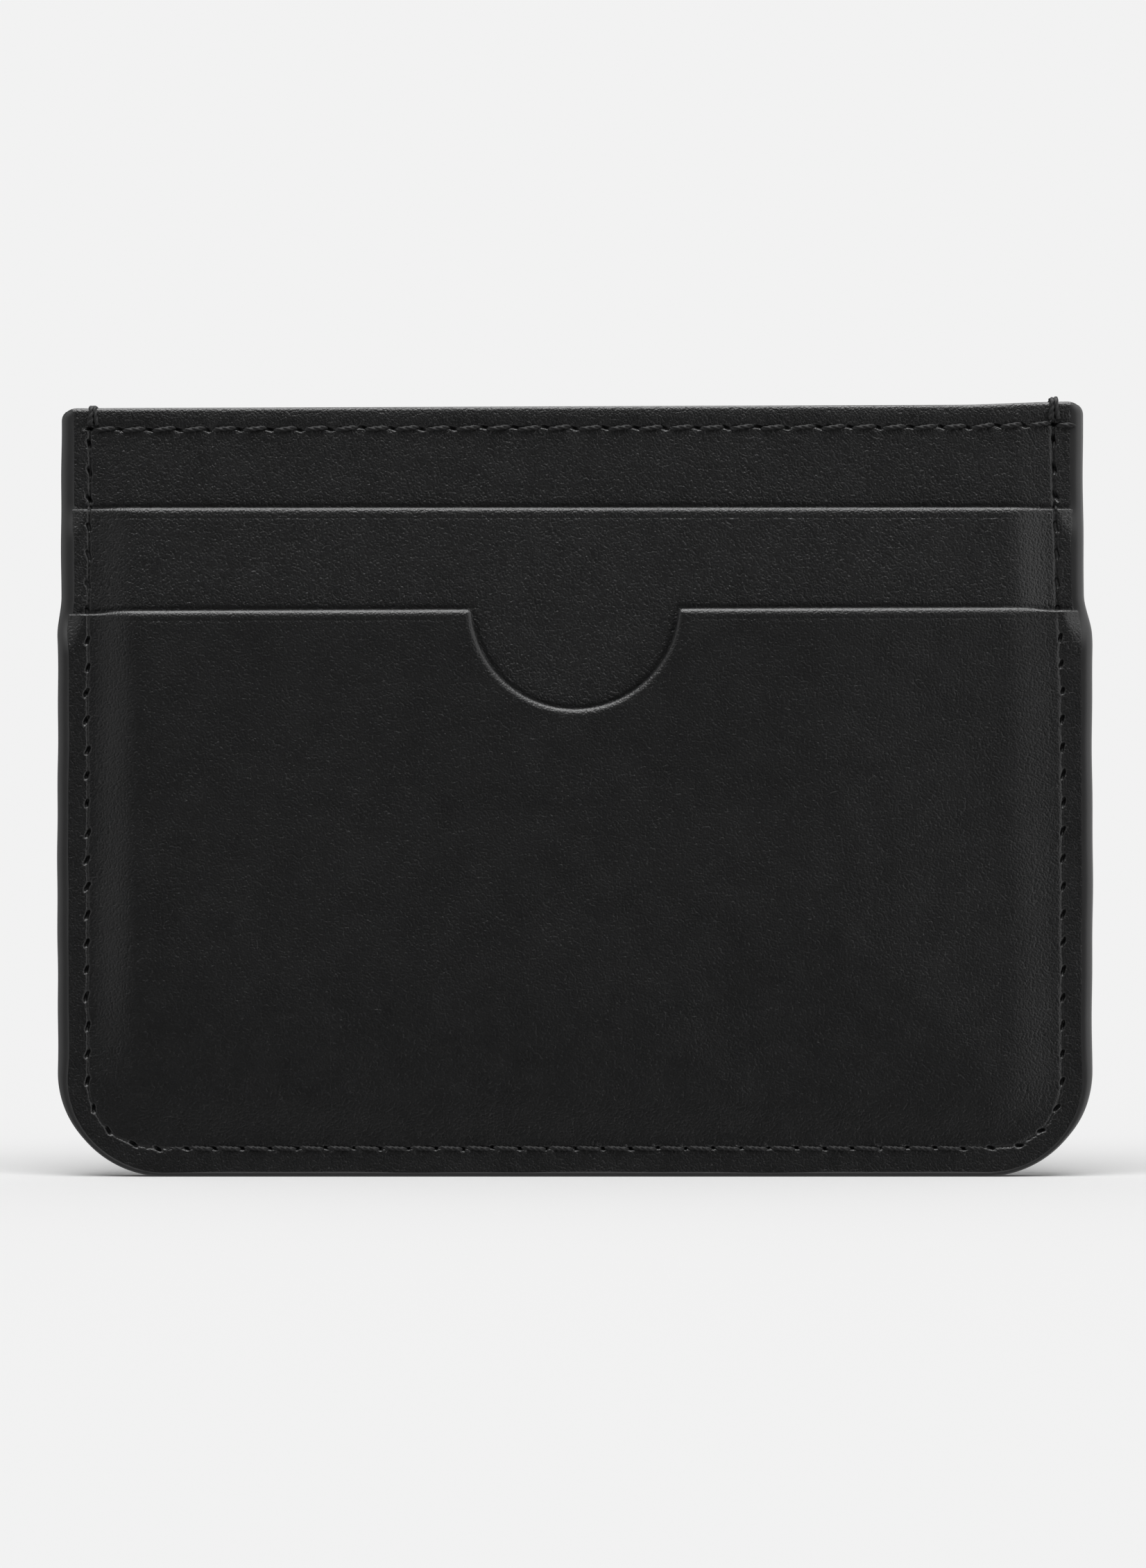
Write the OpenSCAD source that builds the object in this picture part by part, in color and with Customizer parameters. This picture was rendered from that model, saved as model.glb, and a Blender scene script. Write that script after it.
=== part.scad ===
// Card holder in leather with painted edges: two card slots on each face and an open-topped
// centre pocket between them; the mouths and the top edges are turned.  Row frame: X across,
// Z up, front face towards -Y, origin at the middle of the base.  Each half is drawn flat
// (x across, y up, z outwards from the middle plane) and then stood up; the rear half is the
// front half mirrored, without the thumb notch.

/* [Body] */
// Width over the painted side edges
overall_w = 102; // [98:0.5:108]
// Height of the leather body
body_h = 76; // [75:0.5:80]
// Height of the lower pocket mouths
lower_mouth = 56; // [54:0.5:58]
// Height of the upper pocket mouths
upper_mouth = 66; // [65:0.5:68]
// Radius of the bottom corners
corner_r = 10.5; // [9:0.5:13]
// Radius of the top corners
top_corner_r = 1.5; // [1:0.25:2.5]
// Radius of the thumb notch in the front lower pocket
notch_r = 10.2; // [8:0.2:12]
// Height of the notch's centre above the pocket's mouth
notch_rise = 0.35; // [0:0.05:1]

/* [Thickness] */
// Room in each card slot, for one card 0.76 thick
slot_gap = 0.8; // [0.8:0.05:1]
// Room in the centre pocket at its mouth
centre_gap = 0.8; // [0.8:0.1:1.6]
// Leather of the lower pockets
lower_t = 0.6; // [0.5:0.05:0.8]
// Leather of the upper pocket strips
upper_t = 0.45; // [0.4:0.05:0.6]
// Leather of the two body panels
panel_t = 0.4; // [0.4:0.05:0.6]
// Skived leather folded in along the top edges
top_hem_t = 0.25; // [0.2:0.05:0.35]
// Woven lining
lining_t = 0.1; // [0.08:0.01:0.12]

/* [Seams] */
// Distance from the outer edge to the perimeter seam
seam_inset = 2.8; // [2.6:0.1:3]
// Distance from the top edge to the top seams
top_seam_drop = 2.15; // [2:0.05:2.4]
// Length of one perimeter stitch
edge_pitch = 2.75; // [2.5:0.05:3]
// Length of one top-seam stitch
top_pitch = 3; // [2.8:0.1:3.2]
// Diameter of the sewing thread
thread_d = 0.4; // [0.3:0.02:0.4]
// Diameter of the finer thread inside the slots
inner_thread_d = 0.24; // [0.2:0.02:0.3]

/* [Hidden] */
$fn = 72;
leather = "#222222";
inner_leather = "#1d1d1d";
edge_black = "#303030";
woven = "#161616";
thread = "#2b2b2b";

// Outlines: the edge paint is the outermost skin, and every layer stops inside it.
half_w = overall_w / 2;
paint_t = 0.5;                          // built-up edge paint, lower part
stack_hw = half_w - paint_t;            // half width of the layers inside the paint
stack_r = corner_r - paint_t;
upper_paint_t = 0.3;
upper_hw = stack_hw - upper_paint_t;    // above the lower mouths the layers are narrower
margin_w = 3.6;                         // seam allowance, from the outer edge inwards
flange_w = margin_w - paint_t;
hem_depth = 9.5;                        // height of the hem inside the centre pocket

// Levels outwards from the middle plane, one after another.
hem_in = centre_gap / 2;
lining_in = hem_in + top_hem_t - lining_t;
panel_in = hem_in + top_hem_t;
panel_out = panel_in + panel_t;
upper_lining_in = panel_out + slot_gap;
upper_in = upper_lining_in + lining_t;
upper_out = upper_in + upper_t;
lower_lining_in = upper_out + slot_gap;
lower_in = lower_lining_in + lining_t;
lower_out = lower_in + lower_t;

// Heights.
card_h = 54;                            // a card's short side, 53.98
floor_h = upper_mouth - card_h - 0.4;   // stitched floor of the upper slots
strip_low = lower_mouth - 12;           // lower edge of the upper pocket's leather strip
strip_seam = strip_low + 1.5;
lining_drop = 1.2;                      // a lining stops this far below its pocket's mouth
fold_r = (panel_out - hem_in) / 2;      // the body panel's edge is a half-round fold
notch_fillet = 0.5;                     // rounds the two corners where notch and mouth meet

// Seams.
seam_hw = half_w - seam_inset;
seam_r = 6.6;
seam_top = body_h - top_seam_drop;
thread_r = thread_d / 2;
inner_r = inner_thread_d / 2;
inner_seam_hw = seam_hw - 4.4;          // keeps the inner rows inside the card slots
groove_w = 0.6;
shallow = thread_r;                     // sinks a thread to its middle
flush = 2 * thread_r;                   // sinks a thread level with the leather
stitch_gap = 0.75;                      // leather between two stitches, at the needle hole
tack_turns = 3;

// Stands a flat half up: z outwards becomes -Y at the front and +Y at the rear.
module front() { rotate([90, 0, 0]) children(); }
module rear() { mirror([0, 1, 0]) front() children(); }

// A flat layer from depth a to depth b.
module layer(a, b) { translate([0, 0, a]) linear_extrude(b - a) children(); }

// One bottom corner's waste, so that an outline is a rectangle less its corners.
module corner_waste(r) {
    difference() {
        square(r);
        translate([r, r]) circle(r);
    }
}

// Outline of a panel with round bottom corners of radius r and top corners of radius rt.
module outline(hw, low, high, r, rt = 0) {
    difference() {
        translate([-hw, low]) square([2 * hw, high - low]);
        for (side = [0, 1]) mirror([side, 0]) {
            translate([-hw, low]) corner_waste(r);
            if (rt > 0) translate([-hw, high]) mirror([0, 1]) corner_waste(rt);
        }
    }
}

// Carries a section down one side, round the bottom and up the other.  The section's x is
// measured outwards from the path and its y is the depth.
module round_three_sides(hw, low, high, r) {
    for (side = [0, 1]) mirror([side, 0, 0]) {
        translate([hw, high, 0]) rotate([90, 0, 0]) linear_extrude(high - low - r) children();
        translate([hw - r, low + r, 0]) rotate([0, 0, -90])
            rotate_extrude(angle = 90) translate([r, 0]) children();
    }
    translate([hw - r, low, 0]) rotate([0, 0, -90]) rotate([90, 0, 0])
        linear_extrude(2 * (hw - r)) children();
}

// The same section on the two straight sides only.
module two_sides(hw, low, high) {
    for (side = [0, 1]) mirror([side, 0, 0])
        translate([hw, high, 0]) rotate([90, 0, 0]) linear_extrude(high - low) children();
}

// A stitch lying in its groove, from point p to point q of the flat half, at depth z.
module stitch(p, q, z, r) {
    span = norm(q - p);
    translate([p[0], p[1], z]) rotate([0, 0, atan2(q[1] - p[1], q[0] - p[0])])
        translate([stitch_gap / 2, 0, 0]) rotate([0, 90, 0])
            cylinder(r = r, h = span - stitch_gap, $fn = 24);
}

// A row of stitches along a list of needle holes.
module stitches(holes, z, r = thread_r) {
    for (i = [0 : len(holes) - 2]) stitch(holes[i], holes[i + 1], z, r);
}

// Outline of a full layer up to height high, narrower above the lower mouths.
module stack_outline(high, rt = 0) {
    outline(stack_hw, paint_t, lower_mouth, stack_r);
    outline(upper_hw, strip_low, high, fold_r, rt);
}

// Seam allowance from depth a to depth b: sides and bottom of the stack, up to height high.
module seam_allowance(a, b, high) {
    color(inner_leather) translate([0, 0, a]) {
        round_three_sides(stack_hw, paint_t, lower_mouth, stack_r)
            translate([-flange_w, 0]) square([flange_w, b - a]);
        if (high > lower_mouth) two_sides(upper_hw, lower_mouth, high)
            translate([upper_paint_t - flange_w, 0]) square([flange_w - upper_paint_t, b - a]);
    }
}

// Needle holes of a straight row, as near to the pitch as whole stitches allow.
function row_holes(p, q, pitch) =
    let (n = max(1, round(norm(q - p) / pitch)))
    [for (i = [0 : n]) p + (q - p) * i / n];

// A point of the perimeter seam below the lower mouth, s along it from its left end.
seam_side = lower_mouth - seam_inset - seam_r;
seam_bend = PI / 2 * seam_r;
seam_flat = 2 * (seam_hw - seam_r);
seam_run = 2 * seam_side + 2 * seam_bend + seam_flat;
function seam_left(s) =
    s < seam_side ? [-seam_hw, lower_mouth - s]
    : s < seam_side + seam_bend ?
        let (a = 180 + (s - seam_side) / seam_r * 180 / PI)
        [-seam_hw + seam_r + seam_r * cos(a), seam_inset + seam_r + seam_r * sin(a)]
    : [-seam_hw + seam_r + s - seam_side - seam_bend, seam_inset];
function seam_point(s) =
    s <= seam_run / 2 ? seam_left(s)
    : let (p = seam_left(seam_run - s)) [-p[0], p[1]];
edge_count = round(seam_run / edge_pitch);
edge_holes = [for (i = [0 : edge_count]) seam_point(seam_run * i / edge_count)];

// Channels that the seams lie in, cut down from the face at depth z.
module groove_section(sink) { translate([-groove_w / 2, -sink]) square([groove_w, sink + 1]); }
module side_groove(z, low, high, sink) {
    translate([0, 0, z]) two_sides(seam_hw, low, high) groove_section(sink);
}
module level_groove(z, y, hw, sink) {
    translate([-hw, y - groove_w / 2, z - sink]) cube([2 * hw, groove_w, sink + 1]);
}
module perimeter_groove(z, sink) {
    translate([0, 0, z]) round_three_sides(seam_hw, seam_inset, lower_mouth + 1, seam_r)
        groove_section(sink);
}

// ---- lower pocket ----

// Thumb notch: most of a half circle, with a small fillet into the mouth on both sides.
module notch() {
    fillet_y = notch_rise + notch_fillet;
    fillet_x = sqrt(pow(notch_r + notch_fillet, 2) - pow(fillet_y, 2));
    touch_y = notch_rise - notch_r * fillet_y / (notch_r + notch_fillet);
    translate([0, lower_mouth]) {
        translate([0, notch_rise]) circle(notch_r);
        difference() {
            translate([-fillet_x, touch_y]) square([2 * fillet_x, 1]);
            for (side = [-1, 1]) translate([side * fillet_x, -notch_fillet]) circle(notch_fillet);
        }
    }
}

// Outer face of a lower pocket; notched gives it the thumb notch.
module lower_pocket(notched) {
    color(leather) difference() {
        layer(lower_in, lower_out) difference() {
            outline(stack_hw, paint_t, lower_mouth, stack_r);
            if (notched) notch();
        }
        perimeter_groove(lower_out, flush);
    }
}

// Its margins, drawn in towards the layer behind; deeper where the strip has ended.
module lower_allowance() {
    color(inner_leather) {
        translate([0, 0, upper_in]) round_three_sides(stack_hw, paint_t, strip_low, stack_r)
            translate([-flange_w, 0]) square([flange_w, lower_lining_in - upper_in]);
        translate([0, 0, upper_out]) two_sides(stack_hw, strip_low, lower_mouth)
            translate([-flange_w, 0]) square([flange_w, slot_gap]);
    }
}

// Lining glued behind the lower pocket's leather, cut back round the notch.
module lower_lining(notched) {
    color(woven) layer(lower_lining_in, lower_in) difference() {
        outline(stack_hw, paint_t, lower_mouth - lining_drop, stack_r);
        if (notched) translate([0, lower_mouth + notch_rise]) circle(notch_r + lining_drop);
    }
}

// ---- upper pocket ----

// Leather strip: its upper part shows, its lower part hangs behind the lower pocket.
module upper_strip() {
    color(leather) difference() {
        layer(upper_in, upper_out) {
            translate([-stack_hw, strip_low]) square([2 * stack_hw, lower_mouth - strip_low]);
            translate([-upper_hw, strip_low]) square([2 * upper_hw, upper_mouth - strip_low]);
        }
        side_groove(upper_out, lower_mouth, upper_mouth + 1, shallow);
        level_groove(upper_out, strip_seam, inner_seam_hw, inner_thread_d);
    }
}

// Lining that carries the strip and goes down to the bottom seam.
module upper_lining() {
    color(woven) layer(upper_lining_in, upper_in) stack_outline(upper_mouth - lining_drop);
}

// Stitches that hold the strip's lower edge to the lining, sunk level with the strip.
module strip_stitches() {
    color(thread) stitches(row_holes([-inner_seam_hw, strip_seam], [inner_seam_hw, strip_seam],
        top_pitch), upper_out - inner_r, inner_r);
}

// Stitches that close the slot at card depth, from the lining to the body panel.
module floor_stitches() {
    color(thread) for (p = row_holes([-inner_seam_hw, floor_h], [inner_seam_hw, floor_h], top_pitch))
        translate([p[0], p[1], panel_out]) cylinder(r = inner_r, h = slot_gap, $fn = 24);
}

// ---- body panel ----

// Body panel: its top strip shows above the upper pocket.
module panel() {
    color(leather) difference() {
        layer(panel_in, panel_out) stack_outline(body_h - fold_r, top_corner_r - fold_r);
        side_groove(panel_out, upper_mouth, seam_top + groove_w / 2, shallow);
        level_groove(panel_out, seam_top, seam_hw, shallow);
    }
}

// The panel's leather turned over the top edge and down inside the centre pocket.
module panel_top_fold() {
    fold_hw = upper_hw - top_corner_r;
    color(leather) {
        translate([-fold_hw, body_h - fold_r, hem_in + fold_r]) rotate([0, 90, 0]) rotate([0, 0, 90])
            linear_extrude(2 * fold_hw) difference() {
                circle(fold_r);
                translate([-fold_r, -2 * fold_r]) square(2 * fold_r);
            }
        layer(hem_in, panel_in) translate([-fold_hw, body_h - hem_depth])
            square([2 * fold_hw, hem_depth - fold_r]);
    }
}

// Lining of the centre pocket, up to the folded-in hem.
module panel_lining() {
    color(woven) layer(lining_in, panel_in) stack_outline(body_h - hem_depth);
}

// Row along the top edge of one body panel, between the two perimeter rows.
module top_seam() {
    color(thread) stitches(row_holes([-seam_hw, seam_top], [seam_hw, seam_top], top_pitch),
        panel_out);
}

// ---- edge and seams through the whole stack ----

// Section of the edge paint over a stack that reaches depth z on both faces.
module paint_section(t, z) {
    for (side = [0, 1]) mirror([0, side]) {
        square([t, z - t]);
        intersection() {
            translate([0, z - t]) circle(t);
            translate([0, z - t]) square(t);
        }
    }
}

// Paint over the cut edges, following the steps in thickness at the two mouths.
module painted_edge() {
    color(edge_black) {
        round_three_sides(half_w, 0, lower_mouth, corner_r)
            translate([-paint_t, 0]) paint_section(paint_t, lower_out);
        two_sides(upper_hw, lower_mouth, upper_mouth) paint_section(upper_paint_t, upper_out);
        two_sides(upper_hw, upper_mouth, body_h - top_corner_r)
            paint_section(upper_paint_t, panel_out);
    }
}

// Visible thread of the perimeter seam on one face: down the steps at each side and round.
module perimeter_thread() {
    color(thread) {
        for (side = [-1, 1]) {
            stitches(row_holes([side * seam_hw, upper_mouth], [side * seam_hw, seam_top],
                edge_pitch), panel_out);
            stitches(row_holes([side * seam_hw, lower_mouth], [side * seam_hw, upper_mouth],
                edge_pitch), upper_out);
        }
        stitches(edge_holes, lower_out - thread_r);
    }
}

// Turns of thread over the top edge, where the perimeter seam is locked off.
module over_edge_turn() {
    bend = 0.5;
    reach = panel_out + thread_r;
    top = body_h + thread_r;
    for (side = [0, 1]) mirror([0, 0, side]) {
        translate([0, seam_top + groove_w, reach]) rotate([-90, 0, 0])
            cylinder(r = thread_r, h = top - bend - seam_top - groove_w, $fn = 24);
        translate([0, top - bend, reach - bend]) rotate([0, -90, 0])
            rotate_extrude(angle = 90, $fn = 24) translate([bend, 0]) circle(thread_r);
    }
    translate([0, top, bend - reach]) cylinder(r = thread_r, h = 2 * (reach - bend), $fn = 24);
}
module over_edge_tack() {
    color(thread) for (i = [0 : tack_turns - 1])
        translate([(i - (tack_turns - 1) / 2) * (thread_d + 0.02), 0, 0]) over_edge_turn();
}

// ---- the pieces ----
front() lower_pocket(true);  // front_lower_pocket
front() lower_allowance();  // front_lower_pocket_seam_allowance
front() lower_lining(true);  // front_lower_pocket_lining
front() upper_strip();  // front_upper_pocket
front() seam_allowance(panel_out, upper_lining_in, upper_mouth);  // front_upper_pocket_seam_allowance
front() upper_lining();  // front_upper_pocket_lining
front() strip_stitches();  // front_upper_pocket_strip_seam
front() floor_stitches();  // front_upper_pocket_floor_seam
front() panel();  // front_panel
front() seam_allowance(0, lining_in, body_h - top_corner_r);  // front_panel_seam_allowance
front() panel_top_fold();  // front_panel_top_fold
front() panel_lining();  // front_panel_lining
front() top_seam();  // front_top_seam
rear() lower_pocket(false);  // rear_lower_pocket
rear() lower_allowance();  // rear_lower_pocket_seam_allowance
rear() lower_lining(false);  // rear_lower_pocket_lining
rear() upper_strip();  // rear_upper_pocket
rear() seam_allowance(panel_out, upper_lining_in, upper_mouth);  // rear_upper_pocket_seam_allowance
rear() upper_lining();  // rear_upper_pocket_lining
rear() strip_stitches();  // rear_upper_pocket_strip_seam
rear() floor_stitches();  // rear_upper_pocket_floor_seam
rear() panel();  // rear_panel
rear() seam_allowance(0, lining_in, body_h - top_corner_r);  // rear_panel_seam_allowance
rear() panel_top_fold();  // rear_panel_top_fold
rear() panel_lining();  // rear_panel_lining
rear() top_seam();  // rear_top_seam
front() painted_edge();
front() perimeter_thread();  // perimeter_seam_front_thread
rear() perimeter_thread();  // perimeter_seam_rear_thread
front() translate([-seam_hw, 0, 0]) over_edge_tack();  // left_over_edge_tack
front() translate([seam_hw, 0, 0]) over_edge_tack();  // right_over_edge_tack
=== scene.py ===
import bmesh
import bpy
import numpy as np
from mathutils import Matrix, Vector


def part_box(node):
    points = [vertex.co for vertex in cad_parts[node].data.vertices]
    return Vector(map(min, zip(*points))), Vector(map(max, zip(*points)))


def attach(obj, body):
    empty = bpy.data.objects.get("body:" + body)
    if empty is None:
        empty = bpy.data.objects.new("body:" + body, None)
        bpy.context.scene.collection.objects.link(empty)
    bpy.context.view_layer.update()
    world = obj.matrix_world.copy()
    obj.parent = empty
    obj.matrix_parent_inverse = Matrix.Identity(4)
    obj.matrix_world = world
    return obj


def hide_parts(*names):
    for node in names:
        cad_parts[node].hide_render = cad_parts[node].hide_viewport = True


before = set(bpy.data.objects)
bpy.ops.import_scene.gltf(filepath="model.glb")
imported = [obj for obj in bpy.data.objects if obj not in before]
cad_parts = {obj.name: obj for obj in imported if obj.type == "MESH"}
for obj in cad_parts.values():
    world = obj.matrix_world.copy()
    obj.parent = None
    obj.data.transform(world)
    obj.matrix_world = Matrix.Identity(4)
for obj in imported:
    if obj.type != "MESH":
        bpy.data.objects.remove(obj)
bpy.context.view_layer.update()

# ---------------------------------------------------------------------------
# Body panels.  Two cuts of fine-grained black calf, one for each face.  Their
# top edges are turned over and sewn down with a row of twisted thread; the
# centre pocket opens between them.
# ---------------------------------------------------------------------------
MM = 0.001                      # everything below is worked out in millimetres


def corners(node):
    """Lowest and highest corner of a CAD node, in millimetres."""
    low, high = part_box(node)
    return np.array(low) / MM, np.array(high) / MM


HALF_W = corners("painted_edge")[1][0]          # to the outside of the painted edge
CORNER_R = 10.5
BODY_H = corners("front_panel_top_fold")[1][2]
PANEL_D = -corners("front_panel")[0][1]         # outer face of the panel, from the middle plane
HEM_D = -corners("front_panel_top_fold")[1][1]  # its hem, inside the centre pocket
UPPER_MOUTH = corners("front_upper_pocket")[1][2]
LOWER_MOUTH = corners("front_lower_pocket")[1][2]
SET_IN = 0.5                                    # above the lower mouths the body is narrower
UPPER_HALF_W = HALF_W - SET_IN
TOP_CORNER_R = 1.25
SEAM_LOW, SEAM_R = 2.8, 6.6                     # the perimeter seam's margin and corner radius
SEAM_HW = HALF_W - SEAM_LOW
STITCH = 2.738                                  # one stitch of the perimeter seam
TOP_SEAM_Z = BODY_H - 2.15
TOP_STITCHES = 32
TOP_STITCH = 2 * SEAM_HW / TOP_STITCHES
PANEL_MARGIN_D = 0.85                           # the seam draws the margins in
DRAWN_FROM, DRAWN_TO = SEAM_HW - 4.5, SEAM_HW + 0.2     # over this width


def smooth(a, b, value):
    """0 below a, 1 above b, and 3q^2 - 2q^3 between them."""
    q = np.clip((value - a) / (b - a), 0, 1)
    return q * q * (3 - 2 * q)


def edge_distance(x, z):
    """Distance in from the outline: to the nearer straight side, or to the corner's arc."""
    across, up = HALF_W - np.abs(x), z
    in_corner = (across < CORNER_R) & (up < CORNER_R)
    arc = CORNER_R - np.hypot(CORNER_R - across, CORNER_R - up)
    return np.where(in_corner, arc, np.minimum(across, up))


def seam_place(x, z):
    """How far along the perimeter seam a point lies, counted from the lower mouth on its own
    side, and how far inside it: straight down the side, round an arc and in along the base."""
    cx, cz = SEAM_HW - SEAM_R, SEAM_LOW + SEAM_R
    ax = np.abs(x)
    angle = np.arctan2(cz - z, ax - cx)
    straight = LOWER_MOUTH - cz
    along = np.where(z >= cz, LOWER_MOUTH - z, np.where(
        ax <= cx, straight + SEAM_R * np.pi / 2 + cx - ax, straight + SEAM_R * angle))
    inside = np.where(z >= cz, SEAM_HW - ax, np.where(
        ax <= cx, z - SEAM_LOW, SEAM_R - np.hypot(ax - cx, cz - z)))
    return along, inside


CHANNEL_W = 0.085                               # half width of the line pulled in by the thread
SLIT_W = 0.115                                  # half width of a needle's slit
ROW_OFF = 0.05                                  # the channel lies this far inside the holes
HOLES = 128                                     # so many holes differ before they repeat


def row_relief(along, inside, pitch, slant, seed, channel, slit, length=0.45, ease=CHANNEL_W):
    """Depth that a row of stitches takes out of the leather: a narrow channel whose inner wall
    may be eased, a slanted slit at every needle hole, less a small lip of leather pushed up
    below the slit."""
    hole = np.round(along / pitch).astype(int)
    wild = np.random.default_rng(seed).uniform(-1, 1, (4, HOLES))[:, hole % HOLES]
    u = along - hole * pitch - 0.12 * wild[0]
    v = inside - ROW_OFF * wild[1]
    turn = slant * (1 + 0.35 * wild[2])
    a, b = u * np.cos(turn) + v * np.sin(turn), v * np.cos(turn) - u * np.sin(turn)
    bow = b - 0.12 * wild[0] * np.cos(3 * a)
    cut = slit * np.exp(-(a / (length + 0.1 * wild[3])) ** 4 - (bow / SLIT_W) ** 2)
    lip = 0.1 * np.exp(-((a - 0.5) / 0.2) ** 2 - (b / 0.22) ** 2)
    wall = np.where(v > ROW_OFF, ease, CHANNEL_W)
    return channel * np.exp(-((v - ROW_OFF) / wall) ** 2) + cut - lip


ROUND_CORNER = (56, 62)                         # where the seam has turned into the base row


def side_relief(x, z, channel=0.26):
    """The perimeter seam's relief; its slits lean one way above the lower mouth and the other
    way below it."""
    along, inside = seam_place(x, z)
    left = x < 0
    lean = np.where(along < 0, 0.5, -0.42) * np.where(left, 1, -0.8)
    base = smooth(*ROUND_CORNER, along)
    slit, length = 0.6 - 0.2 * base, 0.45 - 0.26 * base
    ease = CHANNEL_W + 0.16 * (1 - base)
    return np.where(left, row_relief(along, inside, STITCH, lean, 11, channel, slit, length),
                    row_relief(along, inside, STITCH, lean, 23, channel, slit, length, ease))


def settle(points):
    """The handmade body's small departures from its pattern: the side edges swell and waver,
    the right seam leans in towards the top, and the mouths and top run slightly uphill."""
    x, z, depth = points[..., 0], points[..., 1], points[..., 2]
    right = x > 0
    lower = smooth(57.3, 52.2, z)
    waver = np.where(right, 0.05 * np.sin(z * 0.23 + 1.0) + 0.02 * np.sin(z * 0.71),
                     0.04 * np.sin(z * 0.19 + 2.1) + 0.02 * np.sin(z * 0.83 + 0.4))
    at_edge = waver * smooth(2, 9, z) + np.where(right, -0.22, 0.3) * (1 - lower) + 0.15 * lower
    at_seam = np.where(right, -0.75 * smooth(38, 76, z), -0.15 * smooth(40, 76, z))
    ax = np.abs(x)
    dx = np.where(ax < SEAM_HW, at_seam * smooth(36, SEAM_HW, ax),
                  at_seam + (at_edge - at_seam) * smooth(SEAM_HW, HALF_W - 0.4, ax))
    levels = [0, 20, LOWER_MOUTH, UPPER_MOUTH, BODY_H]
    climb = np.interp(z, levels, [0, 0, 0.2, 0.02, 0.2])
    lift = np.interp(z, levels, [0, 0, 0.1, 0.14, 0.18])
    flick = 0.28 * smooth(38, 50, x) * smooth(UPPER_MOUTH, BODY_H, z)
    flick = flick - (0.07 + 0.18 * smooth(62, 58, z)) * smooth(44.5, 47.6, ax) * smooth(
        45, 55, z) * smooth(74, 67, z)
    return np.stack([x + np.sign(x) * dx, z + lift + climb * x / HALF_W + flick, depth], -1)


def grid_faces(rows, columns, first=0):
    """Quads of a grid of points stored row by row: facing outwards where rows go up and
    columns go right."""
    corner = first + np.arange(rows - 1)[:, None] * columns + np.arange(columns - 1)
    return np.stack([corner, corner + 1, corner + columns + 1, corner + columns], -1).reshape(-1, 4)


WELD = 0.002                                    # points nearer than this become one


def make_piece(name, blocks, faces, side, weld=False):
    """A mesh from blocks of (x, height, depth) points.  The front half stands with its depth
    towards -Y; the rear half is the same half turned round by 180 degrees.  Both then take the
    body's departures from its pattern."""
    points = np.concatenate([b.reshape(-1, 3) for b in blocks]) * [side, 1, side]
    points = settle(points)
    co = np.stack([points[:, 0], -points[:, 2], points[:, 1]], 1) * MM
    mesh = bpy.data.meshes.new(name)
    mesh.from_pydata(co.tolist(), [], [f for group in faces for f in group.tolist()])
    if weld:
        joined = bmesh.new()
        joined.from_mesh(mesh)
        bmesh.ops.remove_doubles(joined, verts=joined.verts, dist=WELD * MM)
        joined.to_mesh(mesh)
        joined.free()
    mesh.shade_smooth()
    piece = bpy.data.objects.new(name, mesh)
    bpy.context.scene.collection.objects.link(piece)
    return piece


class Wire:
    """A socket of a material's nodes.  Sums, products and powers of these add Math nodes."""

    def __init__(self, tree, socket=None):
        self.tree, self.socket = tree, socket

    def node(self, kind, settings, inputs, out=0):
        """A node of this type: its settings go first, then its sockets, by name or number."""
        made = self.tree.nodes.new(kind)
        stops = settings.pop("stops", None)
        for key, value in settings.items():
            setattr(made, key, value)
        if stops:
            ramp = made.color_ramp.elements
            while len(ramp) < len(stops):
                ramp.new(0.5)
            for element, (place, level) in zip(ramp, stops):
                element.position, element.color = place, (level, level, level, 1)
        for key, value in inputs.items():
            if isinstance(value, Wire):
                self.tree.links.new(value.socket, made.inputs[key])
            else:
                made.inputs[key].default_value = value
        return Wire(self.tree, made.outputs[out])

    def maths(self, operation, other, swap=False):
        """A Math node fed with this value and another, which goes first if they are swapped."""
        pair = {0: other, 1: self} if swap else {0: self, 1: other}
        return self.node("ShaderNodeMath", {"operation": operation}, pair)

    def __add__(self, other):
        return self.maths("ADD", other)

    def __radd__(self, other):
        return self.maths("ADD", other)

    def __sub__(self, other):
        return self.maths("SUBTRACT", other)

    def __rsub__(self, other):
        return self.maths("SUBTRACT", other, True)

    def __mul__(self, other):
        return self.maths("MULTIPLY", other)

    def __rmul__(self, other):
        return self.maths("MULTIPLY", other)

    def __pow__(self, other):
        return self.maths("POWER", other)

    def stretched(self, by, turn=0.0):
        """These coordinates, turned about Y and then scaled."""
        turned = self.node("ShaderNodeVectorRotate", {"rotation_type": "Y_AXIS"},
                           {"Vector": self, "Angle": turn})
        return turned.node("ShaderNodeVectorMath", {"operation": "MULTIPLY"}, {0: turned, 1: by})

    def noise(self, scale, detail=2.0, roughness=0.5):
        """Noise at these coordinates: this many waves to a unit, with finer octaves added."""
        return self.node("ShaderNodeTexNoise", {}, {
            "Vector": self, "Scale": scale, "Detail": detail, "Roughness": roughness})

    def ramp(self, *stops):
        """A grey level that runs straight between stops of (value, level)."""
        return self.node("ShaderNodeValToRGB", {"stops": stops}, {"Fac": self})

    def between(self, low, high):
        """A colour from low to high as this value goes from 0 to 1."""
        return self.node("ShaderNodeMix", {"data_type": "RGBA"},
                         {"Factor": self, 6: (*low, 1), 7: (*high, 1)}, out=2)


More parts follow.
